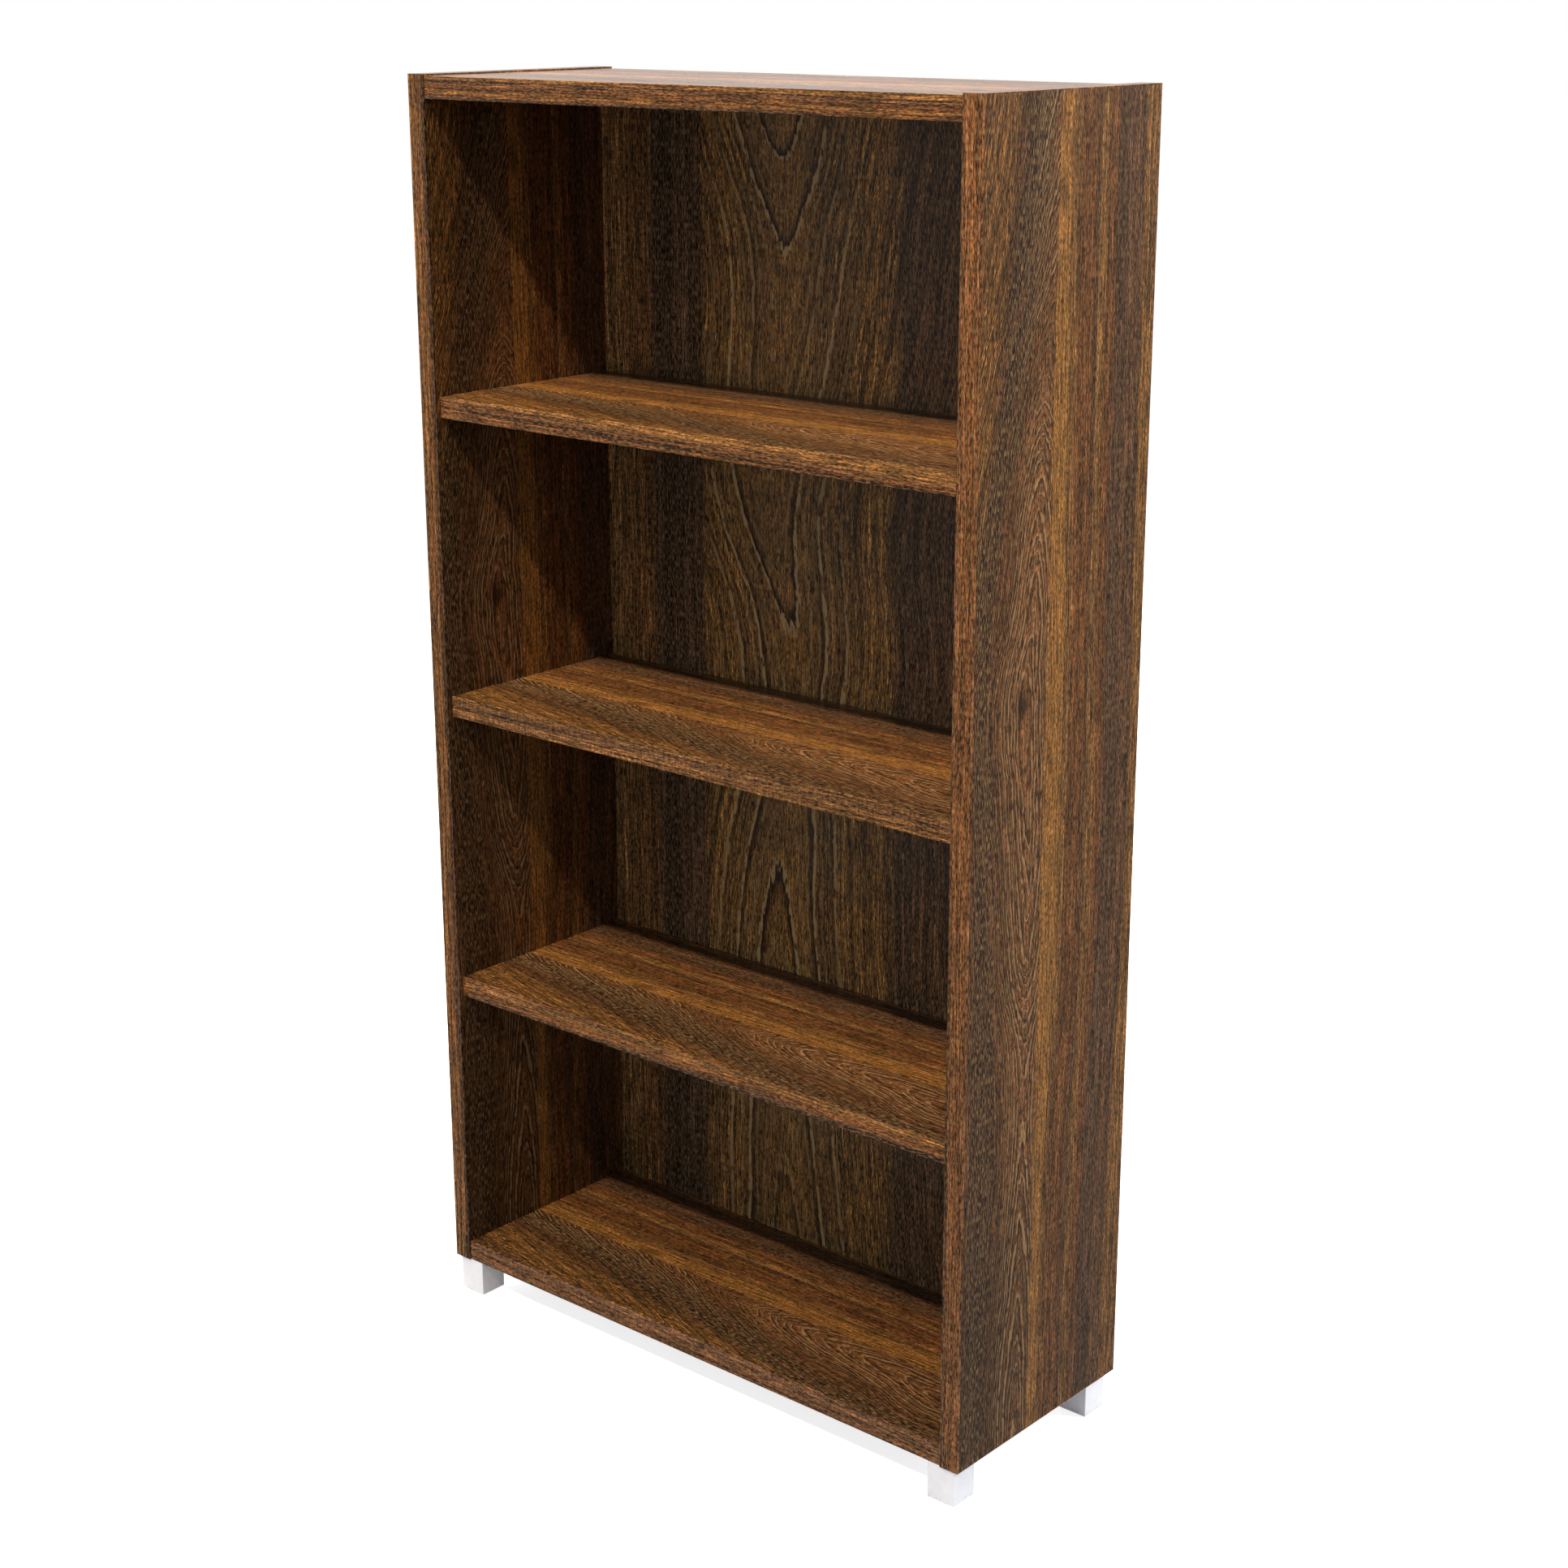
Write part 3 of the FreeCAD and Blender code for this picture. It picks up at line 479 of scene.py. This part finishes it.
def satinFinish(tree, shader, height):
    feed(tree, shader.inputs["Roughness"], slope(tree, height, 0.0, 0.8, *laminate["gloss"]))
    shader.inputs["IOR"].default_value = laminate["ior"]
    bump = addNode(tree, "Bump", {"Strength": laminate["bump"], "Distance": laminate["bumpDepth"],
                                  "Height": height})
    feed(tree, shader.inputs["Normal"], bump.outputs[0])


def laidVector(tree, shift, turn):  # the print's own place on a board
    spot = addNode(tree, "TexCoord").outputs["Object"]
    laid = addNode(tree, "Mapping", {"Vector": spot, "Location": shift,
                                     "Rotation": [radians(angle) for angle in turn]})
    return laid.outputs[0]


# Material of a printed board: where the print lies, how far it is turned, and half the board's thickness
def boardMaterial(name, group, shift, turn, half):
    material, tree, shader = newMaterial(name)
    laid = laidVector(tree, shift, turn)
    wood = useGroup(tree, group, {"Vector": laid})
    core = useGroup(tree, chipGroup, {"Vector": laid})["Color"]
    deep = calc(tree, "ABSOLUTE", addNode(tree, "SeparateXYZ", {0: laid}).outputs[2])
    raw = slope(tree, deep, half - 0.0003, half - 0.0007)
    feed(tree, shader.inputs["Base Color"], mixColor(tree, raw, wood["Color"], core))
    satinFinish(tree, shader, wood["Height"])
    return material


halfBoard = 0.0125
halfBack = 0.009
for end, middle in (("left", 0.3875), ("right", -0.3875)):
    dress(boardMaterial(f"{end}SideWalnut", boardGroup, (1.5, 0.15, middle), (0, -90, 0), halfBoard),
          f"{end}_side_panel")
for name, ahead in (("lower_shelf", 0.157), ("middle_shelf", 0.157), ("upper_shelf", 0.157),
                    ("bottom_panel", 0.1545), ("top_panel", 0.150)):
    low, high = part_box(name)
    shift = (0.281, ahead, -(low.z + high.z) / 2)
    dress(boardMaterial(f"{name}Walnut", boardGroup, shift, (0, 0, 0), halfBoard), name)
dress(boardMaterial("backWalnut", backGroup, (1.473, 0.375, 0.139), (-90, 0, 90), halfBack), "back_panel")
print("boards dressed")


# Print of the edging strips: tones across the strip from its upper or inner edge, as shares of its width.
# Each strip's level is partly painted light: it scales the whole strip to even out how the lamps fall on
# it, mostly brightening the lower strips.
edgingStrips = {
    "top_front_edging": {
        "seed": 51.0, "drift": 0.004, "wave": 0.002, "ripple": 0.08, "level": 0.95,
        "tones": [(0.0, "honey"), (0.11, "honey"), (0.15, "dark"), (0.20, "brown"), (0.50, "red"),
                  (0.62, "honey"), (0.78, "red"), (0.86, "umber"), (0.92, "dark"), (1.0, "umber")]},
    "upper_shelf_front_edging": {
        "seed": 52.0, "drift": 0.017, "wave": 0.003, "ripple": 0.08, "level": 1.19,
        "tones": [(0.0, "honey"), (0.20, "brown"), (0.36, "red"), (0.43, "dark"), (0.50, "dark"),
                  (0.58, "red"), (0.80, "brown"), (1.0, "honey")]},
    "middle_shelf_front_edging": {
        "seed": 53.0, "drift": -0.002, "wave": 0.003, "ripple": 0.28, "level": 1.12,
        "tones": [(0.0, "honey"), (0.38, "brown"), (0.43, "umber"), (0.48, "brown"),
                  (0.70, "honey"), (0.78, "brown"), (1.0, "honey")]},
    "lower_shelf_front_edging": {
        "seed": 54.0, "drift": -0.006, "wave": 0.006, "ripple": 0.08, "level": 1.42,
        "tones": [(0.0, "red"), (0.30, "honey"), (0.60, "red"), (0.80, "red"), (0.90, "umber"),
                  (1.0, "dark")]},
    "bottom_front_edging": {
        "seed": 55.0, "drift": 0.020, "wave": 0.004, "ripple": 0.22, "level": 1.38,
        "tones": [(0.0, "brown"), (0.12, "umber"), (0.20, "red"), (0.36, "brown"), (0.44, "dark"),
                  (0.52, "red"), (0.80, "brown"), (0.90, "umber"), (1.0, "brown")]},
    "left_side_front_edging": {
        "seed": 56.0, "drift": 0.0, "wave": 0.022, "ripple": 0.08, "level": 1.05,
        "tones": [(0.0, "gold"), (0.16, "umber"), (0.24, "honey"), (0.42, "red"), (0.50, "dark"),
                  (0.56, "honey"), (0.72, "red"), (0.86, "dark"), (1.0, "umber")]},
    "right_side_front_edging": {
        "seed": 57.0, "drift": 0.002, "wave": 0.007, "ripple": 0.05, "level": 1.34,
        "tones": [(0.0, "umber"), (0.08, "brown"), (0.22, "red"), (0.36, "brown"), (0.60, "red"),
                  (0.80, "brown"), (1.0, "red")]},
    "plain": {
        "seed": 58.0, "drift": 0.003, "wave": 0.005, "ripple": 0.08, "level": 1.0,
        "tones": [(0.0, "red"), (0.30, "honey"), (0.45, "brown"), (0.62, "umber"), (0.72, "red"),
                  (1.0, "honey")]},
}


stripGrain = {
    "width": 0.025,
    "porous": 0.36,
    "marked": 0.50,
}


def edgingMaterial(name, spec, shift, turn):
    material, tree, shader = newMaterial(name)
    place = addNode(tree, "SeparateXYZ", {0: laidVector(tree, shift, turn)}).outputs
    along = place[0]
    sway = grain(tree, times(tree, along, 3.2), spec["seed"], 0, 2.0)
    across = calc(tree, "MULTIPLY_ADD", minus(tree, sway, 0.5), spec["wave"], place[1])
    across = calc(tree, "MULTIPLY_ADD", along, -spec["drift"], across)
    stops = [(at, tones[tone]) for at, tone in spec["tones"]]
    base = colorRamp(tree, calc(tree, "DIVIDE", across, stripGrain["width"]), stops)
    color, height = finishGrain(tree, base, across, across, along, spec["seed"], stripGrain["porous"],
                                stripGrain["marked"], spec["ripple"])
    # Partly painted light: the level evens out the lamps' fall-off, brightening the lower strips
    feed(tree, shader.inputs["Base Color"], shaded(tree, color, [spec["level"]] * 3))
    satinFinish(tree, shader, height)
    return material


for name in ("top_front_edging", "upper_shelf_front_edging", "middle_shelf_front_edging",
             "lower_shelf_front_edging", "bottom_front_edging", "top_rear_edging", "bottom_rear_edging"):
    spec = edgingStrips.get(name, edgingStrips["plain"])
    dress(edgingMaterial(f"{name}Walnut", spec, (0.375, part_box(name)[1].z, 0), (90, 0, 0)), name)
for name in ("left_side_front_edging", "right_side_front_edging", "left_side_rear_edging",
             "right_side_rear_edging"):
    spec = edgingStrips.get(name, edgingStrips["plain"])
    dress(edgingMaterial(f"{name}Walnut", spec, (1.5, -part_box(name)[0].x, 0), (-90, 0, 90)), name)
for name in ("left_side_end_edgings", "right_side_end_edgings"):
    shift = (0.15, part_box(name)[1].x, 0)
    dress(edgingMaterial(f"{name}Walnut", edgingStrips["plain"], shift, (0, 0, -90)), name)
print("edging dressed")


# Smooth white of the feet, a little scuffed near the floor
footFinish = {
    "white": (0.92, 0.92, 0.95, 1),
    "shade": (0.88, 0.88, 0.92, 1),
    "scuff": (0.52, 0.51, 0.50, 1),
    "scuffHeight": 0.010,
}


def footMaterial():
    spec = footFinish
    material, tree, shader = newMaterial("whiteFootFinish")
    spot = addNode(tree, "TexCoord").outputs["Object"]
    cloud = stretched(tree, spot, (60, 60, 60))
    peel = stretched(tree, spot, (900, 900, 900), 1.0)
    marks = stretched(tree, spot, (500, 500, 90))
    height = addNode(tree, "SeparateXYZ", {0: spot}).outputs[2]
    low = slope(tree, height, spec["scuffHeight"], 0.0)
    worn = times(tree, low, slope(tree, marks, 0.52, 0.68))
    color = mixColor(tree, slope(tree, cloud, 0.35, 0.65), spec["white"], spec["shade"])
    color = mixColor(tree, times(tree, worn, 0.5), color, spec["scuff"])
    feed(tree, shader.inputs["Base Color"], color)
    feed(tree, shader.inputs["Roughness"], slope(tree, plus(tree, cloud, worn), 0.3, 1.2, 0.34, 0.60))
    bump = addNode(tree, "Bump", {"Strength": 0.08, "Distance": 0.0001, "Height": peel})
    feed(tree, shader.inputs["Normal"], bump.outputs[0])
    return material


# Pale nylon of the glides, rubbed grey on the sole
glideFinish = {
    "nylon": (0.74, 0.74, 0.75, 1),
    "tired": (0.62, 0.61, 0.59, 1),
    "rubbed": (0.34, 0.33, 0.32, 1),
}


def glideMaterial():
    spec = glideFinish
    material, tree, shader = newMaterial("paleNylon")
    spot = addNode(tree, "TexCoord").outputs["Object"]
    cloud = stretched(tree, spot, (180, 180, 180))
    scratch = stretched(tree, spot, (1500, 260, 400), 3.0)
    height = addNode(tree, "SeparateXYZ", {0: spot}).outputs[2]
    sole = times(tree, slope(tree, height, 0.0012, 0.0), slope(tree, scratch, 0.40, 0.62))
    color = mixColor(tree, slope(tree, cloud, 0.35, 0.65), spec["nylon"], spec["tired"])
    feed(tree, shader.inputs["Base Color"], mixColor(tree, sole, color, spec["rubbed"]))
    feed(tree, shader.inputs["Roughness"], slope(tree, scratch, 0.3, 0.7, 0.42, 0.62))
    bump = addNode(tree, "Bump", {"Strength": 0.12, "Distance": 0.0001, "Height": scratch})
    feed(tree, shader.inputs["Normal"], bump.outputs[0])
    return material


# Metal of the fittings: tone, duller tone, roughness range, and the scale of its marks along each axis
metalFinish = {
    "castZinc": {"tone": (0.62, 0.62, 0.64, 1), "dull": (0.46, 0.46, 0.48, 1), "gloss": (0.30, 0.52),
                 "marks": (700, 700, 700)},
    "brightSteel": {"tone": (0.55, 0.55, 0.57, 1), "dull": (0.40, 0.40, 0.42, 1), "gloss": (0.18, 0.38),
                    "marks": (900, 60, 900)},
    "turnedBrass": {"tone": (0.75, 0.58, 0.30, 1), "dull": (0.55, 0.39, 0.17, 1), "gloss": (0.22, 0.42),
                    "marks": (120, 120, 1600)},
}


def metalMaterial(name):
    spec = metalFinish[name]
    material, tree, shader = newMaterial(name)
    spot = addNode(tree, "TexCoord").outputs["Object"]
    marks = stretched(tree, spot, spec["marks"], 3.0)
    cloud = stretched(tree, spot, (90, 90, 90))
    tarnish = slope(tree, cloud, 0.35, 0.70)
    feed(tree, shader.inputs["Base Color"], mixColor(tree, tarnish, spec["tone"], spec["dull"]))
    feed(tree, shader.inputs["Roughness"], slope(tree, marks, 0.3, 0.7, *spec["gloss"]))
    shader.inputs["Metallic"].default_value = 1.0
    bump = addNode(tree, "Bump", {"Strength": 0.10, "Distance": 0.0001, "Height": marks})
    feed(tree, shader.inputs["Normal"], bump.outputs[0])
    return material


# Bare beech of the dowels, with its short dark flecks
beechFinish = {
    "pale": (0.60, 0.42, 0.25, 1),
    "warm": (0.46, 0.28, 0.14, 1),
    "fleck": (0.26, 0.14, 0.065, 1),
}


def beechMaterial():
    spec = beechFinish
    material, tree, shader = newMaterial("bareBeech")
    spot = addNode(tree, "TexCoord").outputs["Object"]
    lines = stretched(tree, spot, (25, 700, 700))
    flecks = stretched(tree, spot, (260, 1800, 1800), 1.0)
    color = mixColor(tree, slope(tree, lines, 0.35, 0.65), spec["pale"], spec["warm"])
    color = mixColor(tree, slope(tree, flecks, 0.60, 0.70), color, spec["fleck"])
    feed(tree, shader.inputs["Base Color"], color)
    feed(tree, shader.inputs["Roughness"], slope(tree, lines, 0.3, 0.7, 0.60, 0.78))
    bump = addNode(tree, "Bump", {"Strength": 0.20, "Distance": 0.0002, "Height": lines})
    feed(tree, shader.inputs["Normal"], bump.outputs[0])
    return material


corners = ("front_left", "front_right", "rear_left", "rear_right")
joined = ("top", "bottom", "back")
shelves = ("lower_shelf", "middle_shelf", "upper_shelf")
dress(footMaterial(), *[f"{corner}_foot" for corner in corners])
dress(glideMaterial(), *[f"{corner}_glide" for corner in corners])
dress(metalMaterial("castZinc"), *[f"{board}_cam_locks" for board in joined])
dress(metalMaterial("brightSteel"), "foot_screws", *[f"{board}_cam_bolts" for board in joined],
      *[f"{shelf}_wires" for shelf in shelves])
dress(metalMaterial("turnedBrass"), "foot_inserts")
dress(beechMaterial(), *[f"{board}_dowels" for board in joined])
print("feet and fittings dressed")


# Floor, light and camera
studio = {
    "worldLight": 0.38,
    "worldColor": (0.85, 0.97, 1.14, 1),
    "keyPower": 221000.0,
    "keyColor": (1.0, 0.84, 0.66),
    "keyPlace": (3.2, -23.2, 33.5),   # far off, so that its shadows stay parallel
    "keyTurn": (38.26, 0, 7.85),
    "keyCone": 7.0,
    "keySize": 1.3,
    "fills": {   # soft lamps that no gloss shows: power, place, turn and size
        "rightFill": (98.0, (2.5, 1.9, 2.2), (66, 0, 127), 2.0),
        "leftFill": (98.0, (-2.5, 1.9, 2.2), (66, 0, -127), 2.0),
        "frontFill": (100.0, (0, -9, 1.2), (87, 0, 0), 1.5),
        "overheadFill": (66.0, (0, -0.8, 5.0), (0, 0, 0), 2.0),
    },
    "floorSize": 30.0,
    "floorColor": (0.75, 0.75, 0.75, 1),
    "floorBounce": (0.14, 0.70),   # light it sends back far from the feet, and near them
    "floorNear": (1.1, 0.5),
    "floorWhite": 0.78,
    "floorGloss": (0.42, 0.42, 0.42, 1),   # floor as the satin boards show it
}


def seenInGloss(tree):  # one where a ray comes from a glossy surface or through glass
    path = addNode(tree, "LightPath").outputs
    return calc(tree, "MAXIMUM", path["Is Glossy Ray"], path["Is Transmission Ray"])


def seenByCamera(tree):
    return addNode(tree, "LightPath").outputs["Is Camera Ray"]


def studioFloor():
    shape = bmesh.new()
    bmesh.ops.create_grid(shape, x_segments=1, y_segments=1, size=studio["floorSize"])
    mesh = bpy.data.meshes.new("studioFloor")
    shape.to_mesh(mesh)
    shape.free()
    floor = bpy.data.objects.new("studioFloor", mesh)
    bpy.context.scene.collection.objects.link(floor)
    material, tree, pale = newMaterial("paleFloor")
    pale.inputs["Base Color"].default_value = studio["floorColor"]
    pale.inputs["Roughness"].default_value = 1.0
    pale.inputs["Specular IOR Level"].default_value = 0.0
    white = addNode(tree, "Emission", {"Color": (1, 1, 1, 1), "Strength": studio["floorWhite"]})
    spot = addNode(tree, "TexCoord").outputs["Object"]
    reach = addNode(tree, "VectorMath", {0: spot}, operation="LENGTH").outputs["Value"]
    bounce = addNode(tree, "BsdfDiffuse",
                     {"Color": slope(tree, reach, *studio["floorNear"], *studio["floorBounce"])})
    shown = addNode(tree, "AddShader", {0: pale.outputs[0], 1: white.outputs[0]})
    mirrored = addNode(tree, "Emission", {"Color": studio["floorGloss"], "Strength": 1.0})
    unseen = addNode(tree, "MixShader", {0: seenInGloss(tree), 1: bounce.outputs[0],
                                         2: mirrored.outputs[0]})
    both = addNode(tree, "MixShader", {0: seenByCamera(tree), 1: unseen.outputs[0], 2: shown.outputs[0]})
    feed(tree, tree.nodes["Material Output"].inputs["Surface"], both.outputs[0])
    mesh.materials.append(material)


def addLamp(name, kind, power, place, turn):
    lamp = bpy.data.lights.new(name, kind)
    lamp.energy = power
    lampObject = bpy.data.objects.new(name, lamp)
    lampObject.location = place
    lampObject.rotation_euler = [radians(angle) for angle in turn]
    bpy.context.scene.collection.objects.link(lampObject)
    return lamp


def studioLight():
    world = bpy.data.worlds.new("studioWorld")
    bpy.context.scene.world = world
    world.use_nodes = True
    tree = world.node_tree
    sky = tree.nodes["Background"]
    seen = calc(tree, "MAXIMUM", seenByCamera(tree), seenInGloss(tree))
    feed(tree, sky.inputs["Color"], mixColor(tree, seen, studio["worldColor"], (1, 1, 1, 1)))
    level = addNode(tree, "MapRange", {0: seen, 3: studio["worldLight"], 4: 1.0})
    feed(tree, sky.inputs["Strength"], level.outputs[0])
    key = addLamp("keyLight", "SPOT", studio["keyPower"], studio["keyPlace"], studio["keyTurn"])
    key.color = studio["keyColor"]
    key.spot_size = radians(studio["keyCone"])
    key.spot_blend = 1.0
    key.shadow_soft_size = studio["keySize"]
    for name, (power, place, turn, size) in studio["fills"].items():
        addLamp(name, "AREA", power, place, turn).size = size
        bpy.data.objects[name].visible_glossy = False


view = {
    "place": (1.9239, -2.1963, 1.6105),
    "turn": (72.974, 0.115, 40.837),
    "lens": 61.1,
    "sensor": 36.0,
}


def photoCamera():
    data = bpy.data.cameras.new("photoCamera")
    data.lens = view["lens"]
    data.sensor_width = view["sensor"]
    camera = bpy.data.objects.new("photoCamera", data)
    camera.location = view["place"]
    camera.rotation_euler = [radians(angle) for angle in view["turn"]]
    bpy.context.scene.collection.objects.link(camera)
    bpy.context.scene.camera = camera


studioFloor()
studioLight()
photoCamera()
bpy.context.scene.view_settings.view_transform = "Standard"
print("studio set")
